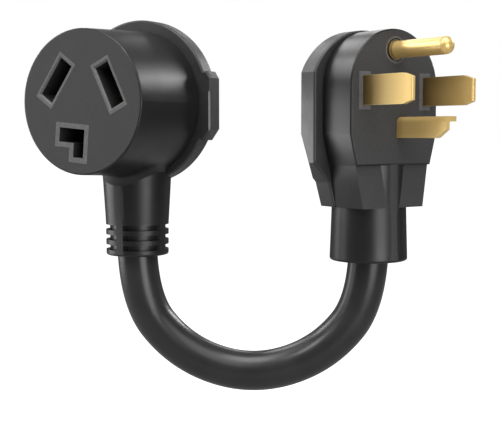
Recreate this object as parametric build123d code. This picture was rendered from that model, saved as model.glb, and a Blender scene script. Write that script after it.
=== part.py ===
from build123d import *
import os
from math import cos, pi, radians, sin, sqrt, tan

# A short adapter cord: a four-contact plug and a three-slot connector, moulded on the two ends
# of one thick cord that is bent in a U below them.
# Frame: the origin is on the plug's mating face, midway between its line blades, and +Z is up.
# The connector's mating face looks along -Y. The plug's face is turned from it about Z.
# Each head is drawn in its own coordinates and then placed: x to the right as its face is looked
# at, y backwards from its mating face, z up.

os.makedirs("parts", exist_ok=True)

# Layout
PLUG_TURN = 63.4           # from the connector's facing direction to the plug's, degrees about Z
CORD_SPAN = 89.9           # between the two cable entries
CORD_HEADING = 25.9        # direction from the connector's entry to the plug's, degrees from +X
CONNECTOR_Z = -4.4         # height of the connector's face centre

# Cord
CORD_R = 7.75
BORE_R = 5.65              # inside of the jacket
CORE_R = 2.45              # over a conductor's insulation
COPPER_R = 1.6
CORE_OFFSET = 2.95         # from the cord's axis to each conductor's
CORD_END_Z = -48.5         # where the jacket ends inside both heads
FERRULE_R = 8.7
FERRULE_LENGTH = 6.0
FERRULE_TOP_Z = -49.5
BEND_SHARE = 0.45          # of the shorter run, taken up by each bend
WIRE_BEND_R = 4.0          # of a conductor's bends inside the heads
# Where a conductor leaves the cord's lay and where it comes under its crimp: heights in each head
LINE_BREAKOUT = (-42.0, -14.0)
NEUTRAL_BREAKOUT = (-37.0, -30.0)
PLUG_LINE_BREAKOUT = (-46.0, -21.0)
PLUG_NEUTRAL_BREAKOUT = (-38.5, -31.5)

# Crimps
CRIMP_R = 2.8
CRIMP_LENGTH = 10.0
CRIMP_GRIP = 8.5           # how far the bare copper reaches in

# Connector
FACE_R = 26.25
BODY_BACK_R = 27.8
BODY_DEPTH = 36.0
FACE_EDGE = 0.7
GROOVE = 0.9               # width of the groove between a body and its rear grip
GROOVE_DEPTH = 1.3
GRIP_R = 31.4
GRIP_RISE = 0.8            # grip's centre above the face's
GRIP_DEPTH = 7.0
GRIP_EDGE = 0.8
EAR = [(29.6, -13.8), (32.7, -9.6), (32.7, 9.4), (31.0, 12.0)]    # corners of the right ear
NECK_Y = 34.9
NECK_TOP_R = 13.3
NECK_R = 12.2
NECK_TAPER_Z = -27.0       # where the neck's taper begins
NECK_STRAIGHT_Z = -45.7    # where the taper ends and the bend relief begins
NECK_END_R = 12.1
NECK_END_Z = -58.2
NECK_END_EDGE = 0.8
NECK_BLEND = 6.0
ROOT_R = 13.72             # of the neck's root under the body, at ROOT_Z
ROOT_Z = -10.0
RELIEF_FIRST = 1.6         # first row of slots, below the end of the taper
RELIEF_PITCH = 3.85
RELIEF_SLOT = 2.0
RELIEF_FLOOR_R = 9.9
RELIEF_BAR = 3.0
RELIEF_ROWS = 3
CARRIER_TURN = 5.0         # the slots sit turned clockwise in the face, degrees
CARRIER_R = 24.0
CARRIER_FRONT = 3.0
CARRIER_DEPTH = 26.0
CAP_DEPTH = 2.5
SLOT_X = 11.85
SLOT_Z = 6.9
SLOT_SLANT = 30.5
SLOT_W = 5.7
SLOT_L = 15.8
RIM_SIDE = 1.3             # rim left of the carrier around each slot
RIM_END = 1.75
ELL_LEFT, ELL_RIGHT = -8.7, 2.45
ELL_TOP, ELL_BOTTOM = -9.75, -20.1
ELL_LEG_W = 4.5
ELL_ARM_H = 5.2
ELL_RIM = 1.8
RIM_BEVEL = 0.6
LEAF_T = 0.8
LEAF_GAP = 1.9
LEAF_FRONT = 9.0
LEAF_BACK = 24.0
LEAF_W = 14.0
ELL_LEAF_W = 8.2
SPRING_T = 0.4
SPRING_FRONT = 11.0
SPRING_LENGTH = 6.0
TAB_W = 5.0
TAB_T = 1.2
ELL_LEAF_DROP = 0.3        # the neutral leaves sit this far below the middle of their leg
LINE_CRIMP_Y = 31.8
NEUTRAL_CRIMP_Y = 35.0
MOULD_HALF_W = 16.8        # inner mould, behind the contacts
MOULD_TOP_Z = 12.5
MOULD_SIDE_Z = -17.0
MOULD_FOOT_Z = -22.5
MOULD_FOOT_HALF_W = 12.6
MOULD_BACK = 35.0
STEM_R = 12.4              # inner mould, down the neck
STEM_END_R = 9.6

# Plug
PLUG_HALF_W = 21.4
PLUG_ARC_Z = 1.6           # centre of the face's round top
PLUG_TAPER_Z = -16.0
PLUG_FOOT_Z = -27.5
PLUG_FOOT_HALF_W = 18.4
PLUG_DEPTH = 16.4
PLUG_GRIP_DEPTH = 8.6
PLUG_GRIP_HALF_W = 25.3
PLUG_GRIP_CROWN_Z = 23.6
PLUG_GRIP_ARCH = (24.4, 9.2)      # where its arched top ends
PLUG_GRIP_SHOULDER_Z = 7.2
PLUG_GRIP_TAPER_Z = -26.6
PLUG_GRIP_WAIST = (18.2, -34.2)
PLUG_GRIP_FOOT_HALF_W = 15.4
# The facet on each lower back corner: a point in its plane, and the plane's normal.
PLUG_GRIP_FACET = (25.3, 8.6, -14.6)
PLUG_GRIP_FACET_NORMAL = (78.7, 56.1, -26.5)
PLUG_NECK_Y = 14.4
PLUG_BOOT_TOP_R = 14.3
PLUG_BOOT_R = 15.0
PLUG_BOOT_EDGE = 1.0
PLUG_DOME_Z = -8.0         # centre of the dome that closes the top of the core
PLUG_BLOCK_HALF_W = 18.0
PLUG_BLOCK_END_HALF_W = 14.9
PLUG_BLOCK_END_Z = -43.5
PLUG_BOOT_END_Z = -64.3
PLUG_BLOCK_TOP_Y = 1.3     # front of the block under the face, at its top and at its foot
PLUG_BLOCK_END_Y = 0.35
PLATE_FRONT = 2.5
PLATE_BACK = 8.0
PLATE_INSET = 2.9
PLATE_FOOT_Z = -20.5
BLADE_X = 14.9
BLADE_T = 1.9
BLADE_H = 10.8
BLADE_OUT = 25.4
BLADE_TIP_H = 8.0
BLADE_NOSE = 4.6           # length of the tapered tip
BLADE_EDGE = 0.6
COLLAR_W = 5.5
COLLAR_H = 13.8
PIN_Z = 15.2
PIN_R = 3.2
PIN_OUT = 28.2
PIN_COLLAR_R = 5.0
PIN_WELL_R = 4.4
PIN_WELL = 0.8
PIN_SHOULDER_R = 3.7       # where it is held in the carrier
PIN_SHOULDER_Y = -0.5
PIN_HEAD_R = 4.5
PIN_HEAD_DEPTH = 2.5
PIN_NOSE = 2.72            # radius of the bullet nose's edge
NEUTRAL_X = 0.8            # outer face of the neutral blade's upright leg
NEUTRAL_TOP = -9.5
NEUTRAL_H = 7.8
NEUTRAL_W = 5.2
NEUTRAL_BEND = 2.2
NEUTRAL_CHAMFER = 3.0
BLADE_TAIL_BACK = 14.6
PLUG_CRIMP_Y = 11.8
PLUG_CRIMP_TOP_Z = -8.0
PLUG_MOULD_HALF_W = 17.9
PLUG_MOULD_TOP_Z = 6.5
PLUG_MOULD_SIDE_Z = -22.0
PLUG_MOULD_FOOT_Z = -39.0
PLUG_MOULD_FOOT_HALF_W = 10.5
PLUG_MOULD_BACK = 15.6
PLUG_STEM_R = 12.6
PLUG_STEM_Z = (-29.0, -20.0)      # where the stem's taper ends, and its top


def save(shape, node):
    export_step(shape, f"parts/{node}.step")


def direction(degrees):
    return Vector(cos(radians(degrees)), sin(radians(degrees)), 0)


PLUG_PLACE = Rot(0, 0, PLUG_TURN)
PLUG_ENTRY = Vector(0, PLUG_NECK_Y, 0).rotate(Axis.Z, PLUG_TURN)
CONNECTOR_ENTRY = PLUG_ENTRY - direction(CORD_HEADING) * CORD_SPAN
CONNECTOR_PLACE = Pos(CONNECTOR_ENTRY.X, CONNECTOR_ENTRY.Y - NECK_Y, CONNECTOR_Z)


# ---------------------------------------------------------------- helpers in a head's coordinates
def along_y(y0, y1, sketch):
    """Extrude a sketch drawn in x and z from depth y0 to depth y1."""
    return extrude(Plane.XZ.offset(-y0) * sketch, amount=y1 - y0, dir=(0, 1, 0))


def disc_y(x, z, r, y0, y1):
    return along_y(y0, y1, Pos(x, z) * Circle(r))


def cone_z(x, y, z0, r0, z1, r1):
    """A cone or cylinder on an upright axis, from radius r0 at z0 up to r1 at z1."""
    if r0 == r1:
        return Pos(x, y, z0) * Cylinder(r0, z1 - z0, align=(Align.CENTER, Align.CENTER, Align.MIN))
    return Pos(x, y, z0) * Cone(r0, r1, z1 - z0, align=(Align.CENTER, Align.CENTER, Align.MIN))


def block(x0, x1, y0, y1, z0, z1):
    return Pos(x0, y0, z0) * Box(x1 - x0, y1 - y0, z1 - z0, align=(Align.MIN, Align.MIN, Align.MIN))


def turned(x, z):
    """Where a point of the carrier lies once the carrier is turned clockwise in the face."""
    c, s = cos(radians(CARRIER_TURN)), sin(radians(CARRIER_TURN))
    return x * c + z * s, z * c - x * s


def ell(left, right, top, bottom, leg_w, arm_h):
    """The neutral contact's L: an arm along the top and a leg down its right side."""
    arm = Pos((left + right) / 2, top - arm_h / 2) * Rectangle(right - left, arm_h)
    leg = Pos(right - leg_w / 2, (top + bottom) / 2) * Rectangle(leg_w, top - bottom)
    return arm + leg


def mirrored(half):
    """A polygon in x and z from its right half's corners, listed from the top down."""
    return Polygon(*[(-x, z) for x, z in half], *reversed(half), align=None)


def round_edges(shape, edges, radius):
    """Round the edges if the radius fits them, or else half of it."""
    for r in (radius, radius / 2):
        try:
            rounded = fillet(edges, r)
            if rounded.is_valid:
                return rounded
        except ValueError:
            pass
    print("edges left sharp")
    return shape


def crimp(x, y, top_z):
    """A closed-end crimp barrel hanging below its tab, bored for the copper."""
    barrel = cone_z(x, y, top_z - CRIMP_LENGTH, CRIMP_R, top_z, CRIMP_R)
    bore = cone_z(x, y, top_z - CRIMP_LENGTH, COPPER_R, top_z - CRIMP_LENGTH + CRIMP_GRIP, COPPER_R)
    return barrel - bore


def filled(barrel):
    """The whole space that a crimp barrel takes, its bore included."""
    box = barrel.bounding_box()
    x, y = box.center().X, box.center().Y
    return cone_z(x, y, box.min.Z, CRIMP_R, box.max.Z, CRIMP_R)


# ---------------------------------------------------------------- cord
# The route of the cord in the upright plane through both entries: distance from the connector's
# entry, and height.
ROUTE = [
    (0.0, -48.5),
    (0.0, -77.6),
    (17.2, -101.7),
    (45.0, -110.8),
    (72.7, -101.7),
    (89.9, -77.6),
    (89.9, -48.5),
]


def cord_path():
    heading = direction(CORD_HEADING)
    points = [CONNECTOR_ENTRY + heading * s + Vector(0, 0, z) for s, z in ROUTE]
    radii = []
    for before, here, after in zip(points, points[1:], points[2:]):
        run_in, run_out = here - before, after - here
        half_turn = radians(run_in.get_angle(run_out)) / 2
        radii.append(BEND_SHARE * min(run_in.length, run_out.length) / tan(half_turn))
    print("cord radii", [round(r, 1) for r in radii])
    return FilletPolyline(*points, radius=radii)


PATH = cord_path()
START = Plane(origin=PATH @ 0, x_dir=direction(CORD_HEADING) * -1, z_dir=PATH % 0)

# Each conductor's place in the cord: outwards in the plane of the U, and across that plane.
PLACES = {
    "line_a": (CORE_OFFSET * sqrt(3) / 2, -CORE_OFFSET / 2),
    "line_b": (-CORE_OFFSET * sqrt(3) / 2, -CORE_OFFSET / 2),
    "neutral": (0.0, CORE_OFFSET),
}


def section(radius, bore):
    """A round section, hollow if it has a bore."""
    return Circle(radius) - Circle(bore) if bore else Circle(radius)


def tube(radius, bore=0.0, place=(0.0, 0.0)):
    """Sweep a round section along the cord, off its axis by the given place."""
    return sweep(START * Pos(*place) * section(radius, bore), path=PATH)


def ends(place):
    """A conductor's two ends, each in its own head's coordinates."""
    out, across = place
    heading = direction(CORD_HEADING)
    side = direction(CORD_HEADING + 90)
    at_connector = Vector(0, NECK_Y, 0) - heading * out + side * across
    at_plug = PLUG_ENTRY + heading * out + side * across
    return at_connector, at_plug.rotate(Axis.Z, -PLUG_TURN)


def breakout(start, z_start, z_leave, z_meet, target, z_end, radius, bore=0.0):
    """A conductor's run from the end of the jacket up to its crimp."""
    x, y = target
    points = [
        (start.X, start.Y, z_start),
        (start.X, start.Y, z_leave),
        (x, y, z_meet),
        (x, y, z_end),
    ]
    path = FilletPolyline(*points, radius=WIRE_BEND_R)
    return sweep(Plane(origin=path @ 0, z_dir=path % 0) * section(radius, bore), path=path)


def conductor(name, connector_run, plug_run):
    """One conductor's copper and insulation, and the space it takes in each head."""
    at_connector, at_plug = ends(PLACES[name])
    at_connector_z = CORD_END_Z - CONNECTOR_Z

    def whole(radius, bore, past_crimp):
        upper = breakout(at_connector, at_connector_z, *connector_run[:3],
                         connector_run[3] + past_crimp, radius, bore)
        lower = breakout(at_plug, CORD_END_Z, *plug_run[:3], plug_run[3] + past_crimp, radius, bore)
        return tube(radius, bore, PLACES[name]) + CONNECTOR_PLACE * upper + PLUG_PLACE * lower

    copper = whole(COPPER_R, 0.0, CRIMP_GRIP)
    insulation = whole(CORE_R, COPPER_R, 0.0)
    upper = breakout(at_connector, at_connector_z, *connector_run, CORE_R)
    lower = breakout(at_plug, CORD_END_Z, *plug_run, CORE_R)
    return copper, insulation, upper, lower


# ---------------------------------------------------------------- connector
def slot_sketch(side, grow_w=0.0, grow_l=0.0):
    """One line slot, side -1 on the left or +1 on the right, before the carrier is turned."""
    shape = Rectangle(SLOT_W + 2 * grow_w, SLOT_L + 2 * grow_l)
    return Pos(side * SLOT_X, SLOT_Z) * Rot(0, 0, side * SLOT_SLANT) * shape


def ell_slot(grow=0.0):
    return ell(ELL_LEFT - grow, ELL_RIGHT + grow, ELL_TOP + grow, ELL_BOTTOM - grow,
               ELL_LEG_W + 2 * grow, ELL_ARM_H + 2 * grow)


def turn_carrier(sketch):
    return Rot(0, 0, -CARRIER_TURN) * sketch


def carrier_envelope():
    rims = slot_sketch(-1, RIM_SIDE, RIM_END) + slot_sketch(1, RIM_SIDE, RIM_END)
    rims += ell_slot(ELL_RIM)
    front = along_y(0, CARRIER_FRONT, turn_carrier(rims))
    return front + disc_y(0, 0, CARRIER_R, CARRIER_FRONT, CARRIER_DEPTH)


def bevel_slots():
    """The lead-in bevel at the mouth of each slot."""
    mouths = Part()
    for grown, plain in (
        (slot_sketch(-1, RIM_BEVEL, RIM_BEVEL), slot_sketch(-1)),
        (slot_sketch(1, RIM_BEVEL, RIM_BEVEL), slot_sketch(1)),
    ):
        outer = Plane.XZ * turn_carrier(grown)
        inner = Plane.XZ.offset(-RIM_BEVEL) * turn_carrier(plain)
        mouths += loft([outer.faces()[0], inner.faces()[0]])
    return mouths


def contact_frame(side):
    """Centre, slant and leaf width of a contact: side -1 or +1 for a line slot, 0 for neutral."""
    if side == 0:
        x = ELL_RIGHT - ELL_LEG_W / 2
        z = (ELL_TOP + ELL_BOTTOM) / 2 - ELL_LEAF_DROP
        return turned(x, z), -CARRIER_TURN, ELL_LEAF_W
    return turned(side * SLOT_X, SLOT_Z), side * SLOT_SLANT - CARRIER_TURN, LEAF_W


def contact(side):
    """A folded female contact: two leaves, the web behind them and a tab through the cap."""
    (x, z), slant, width = contact_frame(side)
    outer = LEAF_GAP + 2 * LEAF_T
    place = Pos(x, z) * Rot(0, 0, slant)
    clip = along_y(LEAF_FRONT, LEAF_BACK, place * Rectangle(outer, width))
    clip -= along_y(LEAF_FRONT, LEAF_BACK - LEAF_T, place * Rectangle(LEAF_GAP, width))
    crimp_y = NEUTRAL_CRIMP_Y if side == 0 else LINE_CRIMP_Y
    web = along_y(LEAF_BACK, CARRIER_DEPTH, place * Rectangle(outer, width))
    tab = block(x - TAB_W / 2, x + TAB_W / 2, CARRIER_DEPTH, crimp_y + CRIMP_R, z - TAB_T, z)
    return clip + web + tab


def spring(side):
    """A steel band around the leaves that keeps them closed on a blade."""
    (x, z), slant, width = contact_frame(side)
    outer = LEAF_GAP + 2 * LEAF_T
    place = Pos(x, z) * Rot(0, 0, slant)
    band = Rectangle(outer + 2 * SPRING_T, width + 2 * SPRING_T) - Rectangle(outer, width)
    return along_y(SPRING_FRONT, SPRING_FRONT + SPRING_LENGTH, place * band)


def contact_crimp(side):
    (x, z), _, _ = contact_frame(side)
    y = NEUTRAL_CRIMP_Y if side == 0 else LINE_CRIMP_Y
    return crimp(x, y, z - TAB_T)


def contact_carrier():
    slots = slot_sketch(-1) + slot_sketch(1) + ell_slot()
    holes = along_y(0, CARRIER_DEPTH, turn_carrier(slots))
    return carrier_envelope() - holes - bevel_slots()


def carrier_cap(contacts):
    cap = disc_y(0, 0, CARRIER_R, CARRIER_DEPTH, CARRIER_DEPTH + CAP_DEPTH)
    for piece in contacts:
        cap -= piece
    return cap


def connector_inner_envelope():
    back = CARRIER_DEPTH + CAP_DEPTH
    half = [
        (MOULD_HALF_W, MOULD_TOP_Z),
        (MOULD_HALF_W, MOULD_SIDE_Z),
        (MOULD_FOOT_HALF_W, MOULD_FOOT_Z),
    ]
    wings = along_y(back, MOULD_BACK, mirrored(half))
    stem = cone_z(0, NECK_Y, CORD_END_Z - CONNECTOR_Z, STEM_END_R, MOULD_FOOT_Z, STEM_R)
    stem += cone_z(0, NECK_Y, MOULD_FOOT_Z, STEM_R, ROOT_Z, STEM_R)
    return wings + stem - disc_y(0, 0, CARRIER_R, 0, back)


def neck_core():
    """The upright core that carries the cord up behind the contacts, with its domed top."""
    core = cone_z(0, NECK_Y, NECK_STRAIGHT_Z, NECK_R, NECK_TAPER_Z, NECK_TOP_R)
    core += cone_z(0, NECK_Y, NECK_TAPER_Z, NECK_TOP_R, 0.0, NECK_TOP_R)
    return core + Pos(0, NECK_Y, 0) * Sphere(NECK_TOP_R)


def bend_relief():
    """The slotted end of the neck: rows of slots between four upright bars, above a plain collar."""
    sleeve = cone_z(0, NECK_Y, NECK_END_Z, NECK_END_R, NECK_STRAIGHT_Z, NECK_R)
    sleeve = round_edges(sleeve, sleeve.edges().group_by(Axis.Z)[0], NECK_END_EDGE)
    for row in range(RELIEF_ROWS):
        z = NECK_STRAIGHT_Z - RELIEF_FIRST - row * RELIEF_PITCH
        z0, z1 = z - RELIEF_SLOT / 2, z + RELIEF_SLOT / 2
        ring = cone_z(0, NECK_Y, z0, NECK_R + 1, z1, NECK_R + 1)
        ring -= cone_z(0, NECK_Y, z0, RELIEF_FLOOR_R, z1, RELIEF_FLOOR_R)
        reach = NECK_R + 2
        ring -= block(-reach, reach, NECK_Y - RELIEF_BAR / 2, NECK_Y + RELIEF_BAR / 2, z0, z1)
        ring -= block(-RELIEF_BAR / 2, RELIEF_BAR / 2, NECK_Y - reach, NECK_Y + reach, z0, z1)
        sleeve -= ring
    return sleeve


def cord_bore(y, lowest):
    """The space taken in a head by the jacket and by the ferrule round its end."""
    jacket = cone_z(0, y, lowest, CORD_R, CORD_END_Z, CORD_R)
    ring = cone_z(0, y, FERRULE_TOP_Z - FERRULE_LENGTH, FERRULE_R, FERRULE_TOP_Z, FERRULE_R)
    return jacket + ring


def blended_body():
    """The body with its neck blended in: the blend is made on a longer body, then cut to length."""
    length = 60.0
    end_r = FACE_R + (BODY_BACK_R - FACE_R) * length / BODY_DEPTH
    cone = Cone(FACE_R, end_r, length, align=(Align.CENTER, Align.CENTER, Align.MIN))
    body = Rot(-90, 0, 0) * cone
    body = round_edges(body, body.edges().group_by(Axis.Y)[0], FACE_EDGE)
    joined = body + cone_z(0, NECK_Y, NECK_STRAIGHT_Z, NECK_R, ROOT_Z, ROOT_R)
    seam = [e for e in joined.edges() if e.geom_type not in (GeomType.LINE, GeomType.CIRCLE)]
    joined = round_edges(joined, seam, NECK_BLEND)
    return joined & block(-50, 50, -1, BODY_DEPTH, -70, 50)


def connector_overmould():
    neck = neck_core()
    ring = disc_y(0, 0, BODY_BACK_R + 1, BODY_DEPTH - GROOVE, BODY_DEPTH)
    ring -= disc_y(0, 0, BODY_BACK_R - GROOVE_DEPTH, BODY_DEPTH - GROOVE, BODY_DEPTH)
    shell = (blended_body() - ring) + neck + bend_relief()
    shell -= carrier_envelope()
    shell -= disc_y(0, 0, CARRIER_R, CARRIER_DEPTH, CARRIER_DEPTH + CAP_DEPTH)
    shell -= connector_inner_envelope()
    return shell - Pos(0, 0, -CONNECTOR_Z) * cord_bore(NECK_Y, CONNECTOR_Z + NECK_END_Z)


def connector_grip():
    """The disc behind the body, with a flat-sided ear for the fingers on each side."""
    ears = mirrored(EAR[::-1])
    outline = Pos(0, GRIP_RISE) * Circle(GRIP_R) + ears
    plate = along_y(BODY_DEPTH, BODY_DEPTH + GRIP_DEPTH, outline)
    rims = plate.edges().group_by(Axis.Y)
    plate = round_edges(plate, rims[0] + rims[-1], GRIP_EDGE)
    return plate - neck_core()


# ---------------------------------------------------------------- plug
def face_outline(inset=0.0):
    """The plug face: a round top on straight sides that draw in towards the foot."""
    half, foot = PLUG_HALF_W - inset, PLUG_FOOT_HALF_W - inset
    low = PLUG_FOOT_Z + inset
    sides = mirrored([(half, PLUG_ARC_Z), (half, PLUG_TAPER_Z), (foot, low)])
    return sides + Pos(0, PLUG_ARC_Z) * Circle(half)


def plug_core():
    """The upright core that carries the cord up behind the blades, with its domed top."""
    core = cone_z(0, PLUG_NECK_Y, PLUG_BLOCK_END_Z, PLUG_BOOT_TOP_R, PLUG_DOME_Z, PLUG_BOOT_TOP_R)
    return core + Pos(0, PLUG_NECK_Y, PLUG_DOME_Z) * Sphere(PLUG_BOOT_TOP_R)


def under_block():
    """The wings under the face, whose front leans forward a little towards the foot."""
    wide, narrow, top, end = PLUG_BLOCK_HALF_W, PLUG_BLOCK_END_HALF_W, PLUG_FOOT_Z, PLUG_BLOCK_END_Z
    wings = mirrored([(wide, top + 3), (wide, top), (narrow, end)])
    lean = (PLUG_BLOCK_TOP_Y - PLUG_BLOCK_END_Y) / (top - end)
    front = Polyline(
        (0, -1, top + 4), (0, PLUG_BLOCK_TOP_Y + 4 * lean, top + 4),
        (0, PLUG_BLOCK_END_Y - lean, end - 1), (0, -1, end - 1), (0, -1, top + 4))
    wedge = extrude(make_face(front.edges()), amount=2 * wide, both=True)
    return along_y(0, PLUG_DEPTH, wings) - wedge


def boot():
    sleeve = cone_z(0, PLUG_NECK_Y, PLUG_BOOT_END_Z, PLUG_BOOT_R, PLUG_BLOCK_END_Z, PLUG_BOOT_TOP_R)
    return round_edges(sleeve, sleeve.edges().group_by(Axis.Z)[0], PLUG_BOOT_EDGE)


def neutral_blade():
    """The neutral blade: an L of bent strip, its upright leg chamfered at the tip."""
    x, top = NEUTRAL_X, NEUTRAL_TOP
    arm = Pos(x + NEUTRAL_W / 2, top - BLADE_T / 2) * Rectangle(NEUTRAL_W, BLADE_T)
    leg = Pos(x + BLADE_T / 2, top - NEUTRAL_H / 2) * Rectangle(BLADE_T, NEUTRAL_H)
    strip = along_y(-BLADE_OUT, PLUG_CRIMP_Y + CRIMP_R, arm + leg)
    strip -= block(x - 1, x + NEUTRAL_W + 1, PLATE_BACK + 1, 20, top - BLADE_T, top + 1)
    bend = strip.edges().filter_by(Axis.Y).sort_by(lambda e: e.center().X - e.center().Z)[0]
    strip = round_edges(strip, [bend], NEUTRAL_BEND)
    tip = Polyline(
        (x - 1, -BLADE_OUT, top - NEUTRAL_H + NEUTRAL_CHAMFER),
        (x - 1, -BLADE_OUT + BLADE_NOSE, top - NEUTRAL_H),
        (x - 1, -BLADE_OUT, top - NEUTRAL_H - 1),
        (x - 1, -BLADE_OUT - 1, top - NEUTRAL_H - 1),
        (x - 1, -BLADE_OUT - 1, top - NEUTRAL_H + NEUTRAL_CHAMFER),
        (x - 1, -BLADE_OUT, top - NEUTRAL_H + NEUTRAL_CHAMFER))
    return strip - extrude(make_face(tip.edges()), amount=NEUTRAL_W + 2, dir=(1, 0, 0))


def line_blade(side):
    """A straight line blade with a tapered tip, and the tail that drops to its crimp."""
    half, tip = BLADE_H / 2, BLADE_TIP_H / 2
    low = PLUG_CRIMP_TOP_Z
    profile = Polyline(
        (0, -BLADE_OUT, tip), (0, -BLADE_OUT + BLADE_NOSE, half), (0, BLADE_TAIL_BACK, half),
        (0, BLADE_TAIL_BACK, low), (0, PLATE_BACK + 1, low), (0, PLATE_BACK + 1, -half),
        (0, -BLADE_OUT + BLADE_NOSE, -half), (0, -BLADE_OUT, -tip), (0, -BLADE_OUT, tip))
    blade = extrude(make_face(profile.edges()), amount=BLADE_T / 2, both=True)
    nose = [e for e in blade.edges().group_by(Axis.Y)[0] if e.length > 2 * BLADE_T]
    blade = round_edges(blade, nose, BLADE_EDGE)
    return Pos(side * BLADE_X, 0, 0) * blade


def ground_pin():
    """The round ground pin: a bullet nose, and a shoulder and a head that anchor it in the carrier."""
    shank = disc_y(0, PIN_Z, PIN_R, -PIN_OUT, PLATE_BACK)
    nose = shank.edges().group_by(Axis.Y)[0]
    shank = round_edges(shank, nose, PIN_NOSE)
    shoulder = disc_y(0, PIN_Z, PIN_SHOULDER_R, PIN_SHOULDER_Y, PLATE_BACK)
    return shank + shoulder + disc_y(0, PIN_Z, PIN_HEAD_R, PLATE_BACK - PIN_HEAD_DEPTH, PLATE_BACK)


def plate_envelope():
    above_foot = Pos(0, PLATE_FOOT_Z + 30) * Rectangle(60, 60)
    plate = along_y(PLATE_FRONT, PLATE_BACK, face_outline(PLATE_INSET) & above_foot)
    for side in (-1, 1):
        plate += along_y(0, PLATE_FRONT, Pos(side * BLADE_X, 0) * Rectangle(COLLAR_W, COLLAR_H))
    return plate + disc_y(0, PIN_Z, PIN_COLLAR_R, 0, PLATE_FRONT)


def blade_carrier(metal):
    plate = plate_envelope()
    plate -= disc_y(0, PIN_Z, PIN_WELL_R, 0, PIN_WELL)
    for piece in metal:
        plate -= piece
    return plate


def plug_inner_envelope():
    half = [
        (PLUG_MOULD_HALF_W, PLUG_MOULD_TOP_Z),
        (PLUG_MOULD_HALF_W, PLUG_MOULD_SIDE_Z),
        (PLUG_MOULD_FOOT_HALF_W, PLUG_MOULD_FOOT_Z),
    ]
    wings = along_y(PLATE_BACK, PLUG_MOULD_BACK, mirrored(half))
    taper_z, top_z = PLUG_STEM_Z
    stem = cone_z(0, PLUG_NECK_Y, CORD_END_Z, STEM_END_R, taper_z, PLUG_STEM_R)
    stem += cone_z(0, PLUG_NECK_Y, taper_z, PLUG_STEM_R, top_z, PLUG_STEM_R)
    reach = PLUG_STEM_R + 1
    return wings + (stem - block(-reach, reach, -reach, PLATE_BACK, CORD_END_Z, top_z))


def plug_overmould(neutral):
    body = along_y(0, PLUG_DEPTH, face_outline())
    body = round_edges(body, body.edges().group_by(Axis.Y)[0], FACE_EDGE)
    outside = along_y(PLUG_DEPTH - GROOVE, PLUG_DEPTH, face_outline(-2) - face_outline(GROOVE_DEPTH))
    shell = (body - outside) + under_block() + plug_core() + boot()
    shell -= plate_envelope()
    shell -= plug_inner_envelope()
    shell -= neutral
    return shell - cord_bore(PLUG_NECK_Y, PLUG_BOOT_END_Z)


def grip_facets():
    """The two lower back corners that the plug's grip loses."""
    x, behind, z = PLUG_GRIP_FACET
    plane = Plane(origin=(x, PLUG_DEPTH + behind, z), z_dir=PLUG_GRIP_FACET_NORMAL)
    beyond = plane * Pos(0, 0, 10) * Box(80, 80, 20)
    back = PLUG_DEPTH + 3 * PLUG_GRIP_DEPTH
    corner = beyond & block(0, 2 * PLUG_GRIP_HALF_W, PLUG_DEPTH, back, PLUG_GRIP_WAIST[1], 0)
    return corner + mirror(corner, Plane.YZ)


def plug_grip():
    """The plate behind the plug's body: a low arched top, straight sides and a tapered foot."""
    half = [
        PLUG_GRIP_ARCH,
        (PLUG_GRIP_HALF_W, PLUG_GRIP_SHOULDER_Z),
        (PLUG_GRIP_HALF_W, PLUG_GRIP_TAPER_Z),
        PLUG_GRIP_WAIST,
        (PLUG_GRIP_FOOT_HALF_W, PLUG_BLOCK_END_Z),
    ]
    other = [(-x, z) for x, z in reversed(half)]
    arch = ThreePointArc(other[-1], (0, PLUG_GRIP_CROWN_Z), half[0])
    outline = make_face([*arch.edges(), *Polyline(*half, *other).edges()])
    plate = along_y(PLUG_DEPTH, PLUG_DEPTH + PLUG_GRIP_DEPTH, outline)
    rims = plate.edges().group_by(Axis.Y)
    plate = round_edges(plate, rims[0] + rims[-1], GRIP_EDGE)
    return plate - grip_facets() - plug_core()


def blade_crimp(side):
    if side == 0:
        return crimp(NEUTRAL_X + BLADE_T / 2, PLUG_CRIMP_Y, NEUTRAL_TOP - NEUTRAL_H)
    return crimp(side * BLADE_X, PLUG_CRIMP_Y, PLUG_CRIMP_TOP_Z)


# ---------------------------------------------------------------- build
def ferrule(y):
    ring = cone_z(0, y, FERRULE_TOP_Z - FERRULE_LENGTH, FERRULE_R, FERRULE_TOP_Z, FERRULE_R)
    return ring - cone_z(0, y, FERRULE_TOP_Z - FERRULE_LENGTH, CORD_R, FERRULE_TOP_Z, CORD_R)


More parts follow.
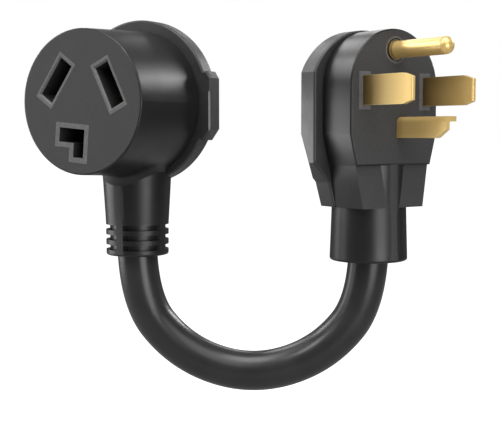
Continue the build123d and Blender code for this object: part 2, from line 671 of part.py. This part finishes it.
def build_cord():
    """The cord, and the space its conductors take in the connector and in the plug."""
    # The line that leaves the connector's left contact meets the plug's right blade.
    sides = {"line_a": (-1, 1), "line_b": (1, -1), "neutral": (0, 0)}
    in_connector, in_plug = [], []
    for name, (con_side, plug_side) in sides.items():
        (x, z), _, _ = contact_frame(con_side)
        crimp_end = z - TAB_T - CRIMP_LENGTH
        if con_side == 0:
            connector_run = (*NEUTRAL_BREAKOUT, (x, NEUTRAL_CRIMP_Y), crimp_end)
            plug_end = NEUTRAL_TOP - NEUTRAL_H - CRIMP_LENGTH
            plug_target = (NEUTRAL_X + BLADE_T / 2, PLUG_CRIMP_Y)
            plug_run = (*PLUG_NEUTRAL_BREAKOUT, plug_target, plug_end)
        else:
            connector_run = (*LINE_BREAKOUT, (x, LINE_CRIMP_Y), crimp_end)
            plug_end = PLUG_CRIMP_TOP_Z - CRIMP_LENGTH
            plug_target = (plug_side * BLADE_X, PLUG_CRIMP_Y)
            plug_run = (*PLUG_LINE_BREAKOUT, plug_target, plug_end)
        copper, insulation, upper, lower = conductor(name, connector_run, plug_run)
        in_connector.append(upper)
        in_plug.append(lower)
        save(copper, f"cord_copper_{name}")
        save(insulation, f"cord_insulation_{name}")
    jacket = tube(CORD_R, BORE_R)
    wall = pi * (CORD_R**2 - BORE_R**2) * PATH.length
    print("cord length", round(PATH.length, 1), "volume ratio", round(jacket.volume / wall, 4))
    save(jacket, "cord_jacket")
    filler = tube(BORE_R)
    for place in PLACES.values():
        filler -= tube(CORE_R, place=place)
    save(filler, "cord_filler")
    return in_connector, in_plug


def build_connector(wires):
    def put(shape, node):
        save(CONNECTOR_PLACE * shape, node)

    names = {-1: "left", 1: "right", 0: "neutral"}
    contacts = {side: contact(side) for side in names}
    inner = connector_inner_envelope()
    for side, name in names.items():
        barrel = contact_crimp(side)
        put(contacts[side], f"connector_contact_{name}")
        put(spring(side), f"connector_spring_{name}")
        put(barrel, f"connector_crimp_{name}")
        inner = inner - contacts[side] - filled(barrel)
    for wire in wires:
        inner -= wire
    put(contact_carrier(), "connector_contact_carrier")
    put(carrier_cap(contacts.values()), "connector_carrier_cap")
    put(inner, "connector_inner_mould")
    put(connector_overmould(), "connector_overmould")
    put(connector_grip(), "connector_rear_grip")
    put(Pos(0, 0, -CONNECTOR_Z) * ferrule(NECK_Y), "connector_cord_ferrule")


def build_plug(wires):
    def put(shape, node):
        save(PLUG_PLACE * shape, node)

    left, right, neutral, pin = line_blade(-1), line_blade(1), neutral_blade(), ground_pin()
    inner = plug_inner_envelope()
    for side, name, blade in ((-1, "left", left), (1, "right", right), (0, "neutral", neutral)):
        barrel = blade_crimp(side)
        put(blade, f"plug_blade_{name}")
        put(barrel, f"plug_crimp_{name}")
        inner = inner - blade - filled(barrel)
    for wire in wires:
        inner -= wire
    put(pin, "plug_ground_pin")
    put(blade_carrier([left, right, neutral, pin]), "plug_blade_carrier")
    put(inner, "plug_inner_mould")
    put(plug_overmould(neutral), "plug_overmould")
    put(plug_grip(), "plug_rear_grip")
    put(ferrule(PLUG_NECK_Y), "plug_cord_ferrule")


IN_CONNECTOR, IN_PLUG = build_cord()
build_connector(IN_CONNECTOR)
build_plug(IN_PLUG)
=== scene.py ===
from math import cos, pi, radians, sin

import bpy
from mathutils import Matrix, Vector


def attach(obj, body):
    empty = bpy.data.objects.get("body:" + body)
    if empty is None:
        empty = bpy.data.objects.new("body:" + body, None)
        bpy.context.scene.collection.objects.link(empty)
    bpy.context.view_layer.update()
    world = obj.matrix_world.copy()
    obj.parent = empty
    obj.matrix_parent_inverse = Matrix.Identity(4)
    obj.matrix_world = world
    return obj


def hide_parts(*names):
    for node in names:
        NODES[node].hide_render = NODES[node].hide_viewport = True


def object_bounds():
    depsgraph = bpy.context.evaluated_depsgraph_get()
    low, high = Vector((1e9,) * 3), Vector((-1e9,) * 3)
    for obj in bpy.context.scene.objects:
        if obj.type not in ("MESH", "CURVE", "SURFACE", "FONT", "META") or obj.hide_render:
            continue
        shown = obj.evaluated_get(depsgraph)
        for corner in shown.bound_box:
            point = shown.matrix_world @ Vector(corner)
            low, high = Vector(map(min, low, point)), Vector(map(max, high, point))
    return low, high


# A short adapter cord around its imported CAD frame: a material for every node, a smooth cord,
# and a plain pale studio. Places are in metres, in the frame's own axes.

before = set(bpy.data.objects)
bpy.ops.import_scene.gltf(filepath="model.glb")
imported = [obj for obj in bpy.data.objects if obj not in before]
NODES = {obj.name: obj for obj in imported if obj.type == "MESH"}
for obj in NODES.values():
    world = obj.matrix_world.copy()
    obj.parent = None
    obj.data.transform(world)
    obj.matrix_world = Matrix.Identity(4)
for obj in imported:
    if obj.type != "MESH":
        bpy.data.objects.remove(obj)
CAD_LOW, CAD_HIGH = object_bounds()
MIDDLE = (CAD_LOW + CAD_HIGH) / 2

MM = 0.001

# ---------------------------------------------------------------- places, as in the CAD
PLUG_TURN = radians(63.4)
CORD_HEADING = radians(25.9)
PLUG_FACE_NORMAL = Vector((sin(PLUG_TURN), -cos(PLUG_TURN), 0))
CONNECTOR_FACE_NORMAL = Vector((0, -1, 0))
BLADE_LINE = PLUG_TURN - pi / 2     # the blades' direction, turned from +X about Z
PLUG_NECK_DEPTH = 14.4 * MM
CORD_SPAN = 89.9 * MM
CORD_RADIUS = 7.75 * MM

PLUG_ENTRY = -PLUG_FACE_NORMAL * PLUG_NECK_DEPTH
ALONG = Vector((cos(CORD_HEADING), sin(CORD_HEADING), 0))
CONNECTOR_ENTRY = PLUG_ENTRY - ALONG * CORD_SPAN

# The control points of the cord's spline, in the upright plane through both entries: distance from
# the connector's entry, and height, in millimetres. Four are moved from the CAD's points,
# by 0.2 or 1.6 mm.
ROUTE = [
    (0.0, -48.5),
    (-1.4, -78.4),
    (17.0, -101.8),
    (45.0, -110.8),
    (72.9, -101.8),
    (91.3, -78.4),
    (89.9, -48.5),
]
ROUTE_STEPS = 32                    # on each of the spline's six spans
ROUND_STEPS = 20                    # the bevel's resolution, which gives the cord 44 sides

# ---------------------------------------------------------------- camera
CAMERA_LENS = 75.86
CAMERA_SENSOR = 36
CAMERA_PLACE = (0.1412, -0.3719, -0.0154)
CAMERA_ROTATION = (radians(85.158), 0, radians(28.6))


def link(piece):
    bpy.context.scene.collection.objects.link(piece)
    return piece


def make_camera():
    camera = bpy.data.cameras.new("camera")
    camera.lens = CAMERA_LENS
    camera.sensor_width = CAMERA_SENSOR
    holder = link(bpy.data.objects.new("camera", camera))
    holder.location = CAMERA_PLACE
    holder.rotation_euler = CAMERA_ROTATION
    bpy.context.scene.camera = holder


# ---------------------------------------------------------------- the cord
def route_mesh(radius):
    """The route's smooth spline as a mesh: a line, or a tube of that radius."""
    curve = bpy.data.curves.new("route", "CURVE")
    curve.dimensions = "3D"
    curve.resolution_u = ROUTE_STEPS
    curve.bevel_depth = radius
    curve.bevel_resolution = ROUND_STEPS
    curve.use_fill_caps = radius > 0
    spline = curve.splines.new("NURBS")
    spline.points.add(len(ROUTE) - 1)
    for point, (along, height) in zip(spline.points, ROUTE):
        place = CONNECTOR_ENTRY + ALONG * along * MM
        point.co = (place.x, place.y, height * MM, 1)
    spline.order_u = 3
    spline.use_endpoint_u = True
    holder = link(bpy.data.objects.new("route", curve))
    graph = bpy.context.evaluated_depsgraph_get()
    mesh = bpy.data.meshes.new_from_object(holder.evaluated_get(graph))
    bpy.data.objects.remove(holder)
    return mesh


def make_cord():
    mesh = route_mesh(CORD_RADIUS)
    mesh.shade_smooth()
    piece = link(bpy.data.objects.new("cord", mesh))
    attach(piece, "root")
    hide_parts("cord_jacket")
    line = [tuple(vertex.co) for vertex in route_mesh(0.0).vertices]
    return piece


make_camera()
CORD = make_cord()


# ---------------------------------------------------------------- material helpers
class Maker:
    """One node material, built from small steps."""

    def __init__(self, name):
        self.material = bpy.data.materials.new(name)
        self.material.use_nodes = True
        self.tree = self.material.node_tree
        self.shader = self.tree.nodes["Principled BSDF"]
        self.place = self.add("ShaderNodeTexCoord").outputs["Object"]

    def add(self, kind, **settings):
        node = self.tree.nodes.new(kind)
        for key, value in settings.items():
            setattr(node, key, value)
        return node

    def plug(self, socket, value):
        """Link a socket into an input, or set the input's own value."""
        if isinstance(value, bpy.types.NodeSocket):
            self.tree.links.new(value, socket)
        else:
            socket.default_value = value

    def put(self, name, value):
        """Give one of the shader's inputs a link or its own value."""
        self.plug(self.shader.inputs[name], value)

    def noise(self, per_metre, detail=3.0, rough=0.5, stretch=None, turn=(0, 0, 0)):
        """Noise with about that many grains in a metre, stretched along turned axes if asked."""
        place = self.place
        if stretch:
            mapping = self.add("ShaderNodeMapping", vector_type="TEXTURE")
            self.plug(mapping.inputs["Vector"], place)
            mapping.inputs["Rotation"].default_value = turn
            mapping.inputs["Scale"].default_value = stretch
            place = mapping.outputs["Vector"]
        node = self.add("ShaderNodeTexNoise")
        self.plug(node.inputs["Vector"], place)
        self.plug(node.inputs["Scale"], per_metre)
        self.plug(node.inputs["Detail"], detail)
        self.plug(node.inputs["Roughness"], rough)
        return node.outputs["Fac"]

    def ramp(self, value, low, high, out_low=0.0, out_high=1.0):
        """Map low..high to out_low..out_high, and hold the ends."""
        node = self.add("ShaderNodeMapRange", clamp=True)
        self.plug(node.inputs["From Min"], low)
        self.plug(node.inputs["From Max"], high)
        self.plug(node.inputs["To Min"], out_low)
        self.plug(node.inputs["To Max"], out_high)
        self.plug(node.inputs["Value"], value)
        return node.outputs["Result"]

    def spread(self, noise, low=0.0, high=1.0):
        """Noise, which keeps near its middle, over the whole of low..high."""
        return self.ramp(noise, 0.3, 0.7, low, high)

    def math(self, operation, a, b):
        node = self.add("ShaderNodeMath", operation=operation)
        self.plug(node.inputs[0], a)
        self.plug(node.inputs[1], b)
        return node.outputs[0]

    def times(self, a, b):
        return self.math("MULTIPLY", a, b)

    def plus(self, a, b):
        return self.math("ADD", a, b)

    def dot(self, a, b):
        node = self.add("ShaderNodeVectorMath", operation="DOT_PRODUCT")
        self.plug(node.inputs[0], a)
        self.plug(node.inputs[1], b)
        return node.outputs["Value"]

    def blend(self, share, a, b):
        """Colour a where share is 0 and b where it is 1."""
        node = self.add("ShaderNodeMix", data_type="RGBA")
        sockets = {socket.identifier: socket for socket in node.inputs}
        self.plug(sockets["Factor_Float"], share)
        self.plug(sockets["A_Color"], a if isinstance(a, bpy.types.NodeSocket) else (*a, 1))
        self.plug(sockets["B_Color"], b if isinstance(b, bpy.types.NodeSocket) else (*b, 1))
        return next(socket for socket in node.outputs if socket.identifier == "Result_Color")

    def facing(self, normal, sharp=0.985):
        """1 on surfaces that look along a direction, and 0 elsewhere."""
        geometry = self.add("ShaderNodeNewGeometry")
        turned = self.dot(geometry.outputs["True Normal"], tuple(normal))
        return self.ramp(turned, sharp, sharp + 0.01)

    def edges(self, radius):
        """1 along edges, where the normal rounded over that radius turns away from the face's."""
        rounded = self.add("ShaderNodeBevel", samples=6)
        rounded.inputs["Radius"].default_value = radius
        geometry = self.add("ShaderNodeNewGeometry")
        turned = self.dot(rounded.outputs["Normal"], geometry.outputs["Normal"])
        return self.ramp(self.math("SUBTRACT", 1.0, turned), 0.02, 0.12)

    def bump(self, *layers):
        """Stack bumps: each layer is a height and its depth in millimetres."""
        normal = None
        for height, depth in layers:
            node = self.add("ShaderNodeBump")
            node.inputs["Strength"].default_value = 1.0
            node.inputs["Distance"].default_value = depth * MM
            self.plug(node.inputs["Height"], height)
            if normal is not None:
                self.plug(node.inputs["Normal"], normal)
            normal = node.outputs["Normal"]
        self.put("Normal", normal)


def times_colour(share, colour):
    return tuple(share * channel for channel in colour)


def wear(m, share):
    """Fine dust and scuffs in patches on a plastic surface, as a mask."""
    patches = m.ramp(m.noise(40), 0.5, 0.75)
    dust = m.ramp(m.noise(1500, detail=4), 0.62, 0.76)
    scratches = m.noise(260, detail=2, stretch=(1, 12, 1), turn=(0.5, 0.2, 0.9))
    scuffs = m.ramp(scratches, 0.68, 0.76)
    both = m.math("MAXIMUM", m.times(dust, patches), m.times(scuffs, patches))
    return m.times(both, share)


# ---------------------------------------------------------------- colours
GLOSS_PVC = ((0.006, 0.006, 0.0065), (0.011, 0.011, 0.0115))    # a mottle's darkest and lightest
FACE_PVC = ((0.034, 0.034, 0.035), (0.052, 0.052, 0.053))
SATIN_PVC = ((0.013, 0.013, 0.014), (0.021, 0.021, 0.022))
CORD_PVC = ((0.017, 0.017, 0.018), (0.026, 0.026, 0.027))
GLOSS_DUST = (0.045, 0.045, 0.046)
DUST = (0.05, 0.05, 0.05)
SLOT_INSERT = ((0.10, 0.10, 0.103), (0.14, 0.14, 0.143))
BLADE_INSERT = ((0.10, 0.10, 0.102), (0.14, 0.14, 0.142))
BRASS = (1.0, 0.71, 0.27)
BRASS_EDGE = (1.0, 0.82, 0.46)
BRASS_DEEP = (0.42, 0.27, 0.09)
# painted shade: the dark colour the brass fades to at its root, by the plug's dark face
PAINTED_ROOT_SHADE = (0.10, 0.06, 0.018)
CONTACT_BRASS = (0.66, 0.47, 0.22)
CONTACT_DEEP = (0.40, 0.25, 0.10)

# From the plug's face, in millimetres: where a blade's painted root shade starts to thin, and where
# it ends.
ROOT_SHADE_START = 0.6
BLADE_ROOT_SHADE_END = 23.0
NEUTRAL_ROOT_SHADE_END = 4.0
PIN_ROOT_SHADE_END = 1.6


# ---------------------------------------------------------------- materials
def moulded_gloss(name, face_normal):
    """Glossy moulded PVC, whose mating face is spark-eroded to a matte dark grey."""
    m = Maker(name)
    worn = wear(m, 0.25)
    gloss = m.blend(m.spread(m.noise(70)), *GLOSS_PVC)
    gloss = m.blend(worn, gloss, GLOSS_DUST)
    face = m.facing(face_normal)
    matte = m.blend(m.ramp(m.noise(2600), 0.35, 0.65), *FACE_PVC)
    m.put("Base Color", m.blend(face, gloss, matte))
    smooth = m.spread(m.noise(160, detail=4), 0.34, 0.39)
    smooth = m.plus(smooth, m.times(worn, 0.2))
    m.put("Roughness", m.plus(smooth, m.times(face, 0.34)))
    peel = m.noise(300, detail=2)
    sparks = m.times(m.noise(2200, detail=4, rough=0.7), face)
    m.bump((peel, 0.004), (sparks, 0.05))
    return m.material


def moulded_satin(name):
    """The grips' softer PVC, with the fine even grain of an etched mould."""
    m = Maker(name)
    colour = m.blend(m.spread(m.noise(90)), *SATIN_PVC)
    m.put("Base Color", m.blend(wear(m, 0.3), colour, DUST))
    m.put("Specular IOR Level", 0.75)
    m.put("Roughness", m.spread(m.noise(240, detail=4), 0.44, 0.52))
    peel = m.noise(300, detail=2)
    etching = m.noise(2600)
    m.bump((peel, 0.005), (etching, 0.012))
    return m.material


def cord_rubber(name):
    """The cord's extruded jacket: glossy, with a faint waviness and a little dust."""
    m = Maker(name)
    worn = wear(m, 0.25)
    colour = m.blend(m.spread(m.noise(60)), *CORD_PVC)
    m.put("Base Color", m.blend(worn, colour, DUST))
    smooth = m.spread(m.noise(120, detail=4), 0.27, 0.33)
    m.put("Roughness", m.plus(smooth, m.times(worn, 0.08)))
    waves = m.noise(90, detail=2)
    grain = m.noise(3000, detail=2)
    m.bump((waves, 0.03), (grain, 0.002))
    return m.material


def insert_plastic(name, dark, light, front):
    """The hard grey thermoplastic of the carriers: pale grey on its front, paler at its edges, and
    darkened on its other faces, the slots' walls among them, as painted shade.
    """
    m = Maker(name)
    pale = m.blend(m.ramp(m.noise(1500, detail=4), 0.35, 0.65), dark, light)
    rim = m.times(m.edges(0.35 * MM), 0.4)
    pale = m.blend(rim, pale, times_colour(1.4, light))
    # painted shade: every face but the front, the slots' walls among them, is darkened to near black
    painted_slot_shade = times_colour(0.22, dark)
    m.put("Base Color", m.blend(m.facing(front, 0.6), painted_slot_shade, pale))
    m.put("Roughness", m.spread(m.noise(500), 0.48, 0.62))
    m.bump((m.noise(1800), 0.02))
    return m.material


def brass(name, colour, deep, root_darkening=0.2, ends=BLADE_ROOT_SHADE_END, roughness=(0.34, 0.42), turn=0.0):
    """Rolled brass: fine lines along it, darkened towards its root at the plug's face as painted
    shade, and polished at its edges.
    """
    m = Maker(name)
    lines = m.noise(900, detail=2, stretch=(30, 1, 1), turn=(0, 0, turn))
    clouds = m.ramp(m.noise(55, detail=2, rough=0.45), 0.4, 0.75)
    out = m.dot(m.place, tuple(PLUG_FACE_NORMAL))
    # painted shade: darker towards the root, where the brass meets the plug's dark face
    painted_root_shade_mask = m.ramp(out, ROOT_SHADE_START * MM, ends * MM, root_darkening, 0.0)
    tone = m.blend(painted_root_shade_mask, colour, PAINTED_ROOT_SHADE)
    tone = m.blend(m.times(clouds, 0.12), tone, deep)
    tone = m.blend(m.times(lines, 0.10), tone, deep)
    tone = m.blend(m.times(m.edges(0.3 * MM), 0.7), tone, BRASS_EDGE)
    m.put("Base Color", tone)
    m.put("Metallic", 0.5)
    m.put("Roughness", m.plus(m.spread(lines, *roughness), m.times(clouds, 0.04)))
    m.bump((m.noise(120, detail=1), 0.003))
    return m.material


def metal(name, colour, roughness):
    """A plain inner metal with rolling marks."""
    m = Maker(name)
    marks = m.noise(1200, stretch=(1, 1, 10))
    m.put("Base Color", m.blend(marks, times_colour(0.8, colour), colour))
    m.put("Metallic", 1.0)
    m.put("Roughness", m.spread(marks, roughness - 0.06, roughness + 0.06))
    m.bump((marks, 0.004))
    return m.material


def plain(name, colour, roughness, grain=0.01, per_metre=700):
    """A hidden plastic, insulation or filler with a fine surface grain."""
    m = Maker(name)
    speckle = m.noise(per_metre)
    m.put("Base Color", m.blend(speckle, times_colour(0.75, colour), colour))
    m.put("Roughness", m.spread(speckle, roughness - 0.05, roughness + 0.05))
    m.bump((speckle, grain))
    return m.material


# A node takes the first material whose words are in its name. Only the jacket that the smooth cord
# replaces matches none.
MATERIALS = {
    "connector_overmould": moulded_gloss("connector_pvc", CONNECTOR_FACE_NORMAL),
    "plug_overmould": moulded_gloss("plug_pvc", PLUG_FACE_NORMAL),
    "rear_grip": moulded_satin("grip_pvc"),
    "contact_carrier": insert_plastic("slot_insert", *SLOT_INSERT, CONNECTOR_FACE_NORMAL),
    "carrier_cap": plain("insert_cap", SLOT_INSERT[0], 0.55),
    "blade_carrier": insert_plastic("blade_insert", *BLADE_INSERT, PLUG_FACE_NORMAL),
    "inner_mould": plain("moulding_compound", (0.05, 0.05, 0.052), 0.6),
    # brass: the number after the two colours sets how dark the painted root shade is on each part
    "plug_blade_neutral": brass(
        "neutral_brass", BRASS, BRASS_DEEP, 0.3, NEUTRAL_ROOT_SHADE_END, turn=BLADE_LINE),
    "plug_blade": brass("blade_brass", BRASS, BRASS_DEEP, 1.0, turn=BLADE_LINE),
    "ground_pin": brass(
        "pin_brass", BRASS, BRASS_DEEP, 0.9, PIN_ROOT_SHADE_END, (0.26, 0.34), BLADE_LINE),
    "connector_contact": brass("contact_brass", CONTACT_BRASS, CONTACT_DEEP),
    "spring": metal("spring_steel", (0.55, 0.55, 0.57), 0.3),
    "crimp": metal("crimp_copper", (0.75, 0.58, 0.42), 0.35),
    "ferrule": metal("ferrule_steel", (0.6, 0.6, 0.61), 0.35),
    "filler": plain("fibre_filler", (0.7, 0.68, 0.62), 0.85, 0.05, 1600),
    "copper": metal("copper_strand", (0.85, 0.45, 0.28), 0.28),
    "insulation_line_a": plain("insulation_black", (0.03, 0.03, 0.03), 0.35),
    "insulation_line_b": plain("insulation_red", (0.45, 0.03, 0.03), 0.35),
    "insulation_neutral": plain("insulation_white", (0.8, 0.8, 0.78), 0.35),
}


def dress(piece, material):
    piece.data.materials.clear()
    piece.data.materials.append(material)


def dress_nodes():
    for name, piece in NODES.items():
        words = next((words for words in MATERIALS if words in name), "insulation_line_a")
        dress(piece, MATERIALS[words])


dress_nodes()
dress(CORD, cord_rubber("cord_pvc"))


# ---------------------------------------------------------------- studio
BACKDROP = 1.0                      # the world's strength where the camera looks straight at it
AMBIENT = 0.20                      # and everywhere else
FLOOR_GLOW = 1.0
FLOOR_HALF = 12.0
FLOOR_DROP = 0.10                   # under the object's lowest point
FLOOR_GREYS = ((0.30, 0.30, 0.30), (0.32, 0.32, 0.32))

# Round the object's middle, in metres. Azimuth 0 in front and 90 on the right.
#    name, azimuth, elevation, distance, width, height, watts
LIGHTS = [
    ("left", -72, 4, 0.80, 0.58, 0.80, 4.5),
    ("right", 62, -5, 0.85, 0.48, 0.40, 3.1),
    ("right_high", 55, 45, 0.90, 0.80, 0.60, 3.2),
    ("back_right", 162, 24, 0.80, 0.40, 0.14, 2.0),
    ("back_top", 198, 28, 0.80, 0.24, 0.10, 0.4),
    ("back_left", 234, 41, 0.80, 0.30, 0.22, 1.0),
    ("left_high", -90, 35, 0.80, 0.34, 0.16, 1.1),
    ("overhead", 20, 76, 0.90, 0.50, 0.50, 4.8),
    ("front_high", -20, 40, 0.90, 0.30, 0.20, 1.8),
]

# A small panel between the two heads: the connector hides the plug's side from the left lamp.
PANEL = ("between", -72, 0, 0.045, 0.030, 0.040, 0.016)
PLUG_SIDE = Vector((-22, -9, -20)) * MM


def make_floor():
    """A plain pale floor, white to the camera and grey in reflections."""
    z = CAD_LOW.z - FLOOR_DROP
    signs = [(-1, -1), (1, -1), (1, 1), (-1, 1)]
    corners = [(x * FLOOR_HALF, y * FLOOR_HALF, z) for x, y in signs]
    mesh = bpy.data.meshes.new("floor")
    mesh.from_pydata(corners, [], [(0, 1, 2, 3)])
    floor = link(bpy.data.objects.new("floor", mesh))
    m = Maker("floor")
    m.put("Base Color", m.blend(m.noise(6), *FLOOR_GREYS))
    m.put("Roughness", 0.9)
    m.put("Emission Color", (1, 1, 1, 1))
    seen = m.add("ShaderNodeLightPath").outputs["Is Camera Ray"]
    m.put("Emission Strength", m.times(seen, FLOOR_GLOW))
    dress(floor, m.material)


def make_world():
    """Pale where the camera looks past the object, and dim in its reflections."""
    world = bpy.data.worlds.new("studio")
    world.use_nodes = True
    tree = world.node_tree
    seen = tree.nodes["Background"]
    dim = tree.nodes.new("ShaderNodeBackground")
    for background, strength in ((seen, BACKDROP), (dim, AMBIENT)):
        background.inputs["Color"].default_value = (1, 1, 1, 1)
        background.inputs["Strength"].default_value = strength
    path = tree.nodes.new("ShaderNodeLightPath")
    mix = tree.nodes.new("ShaderNodeMixShader")
    tree.links.new(path.outputs["Is Camera Ray"], mix.inputs[0])
    tree.links.new(dim.outputs[0], mix.inputs[1])
    tree.links.new(seen.outputs[0], mix.inputs[2])
    tree.links.new(mix.outputs[0], tree.nodes["World Output"].inputs["Surface"])
    bpy.context.scene.world = world


def softbox(name, azimuth, elevation, distance, width, height, watts, centre):
    """An area light at that distance from a centre, which it looks at."""
    azimuth, elevation = radians(azimuth), radians(elevation)
    data = bpy.data.lights.new(name, "AREA")
    data.shape = "RECTANGLE"
    data.size, data.size_y = width, height
    data.energy = watts
    away = Vector((sin(azimuth) * cos(elevation), -cos(azimuth) * cos(elevation), sin(elevation)))
    holder = link(bpy.data.objects.new(name, data))
    holder.location = centre + away * distance
    holder.rotation_mode = "QUATERNION"
    holder.rotation_quaternion = (centre - holder.location).to_track_quat("-Z", "Y")
    return holder


def make_studio():
    bpy.context.scene.view_settings.view_transform = "Standard"
    make_floor()
    make_world()
    for light in LIGHTS:
        softbox(*light, MIDDLE)
    softbox(*PANEL, PLUG_SIDE).visible_camera = False


make_studio()
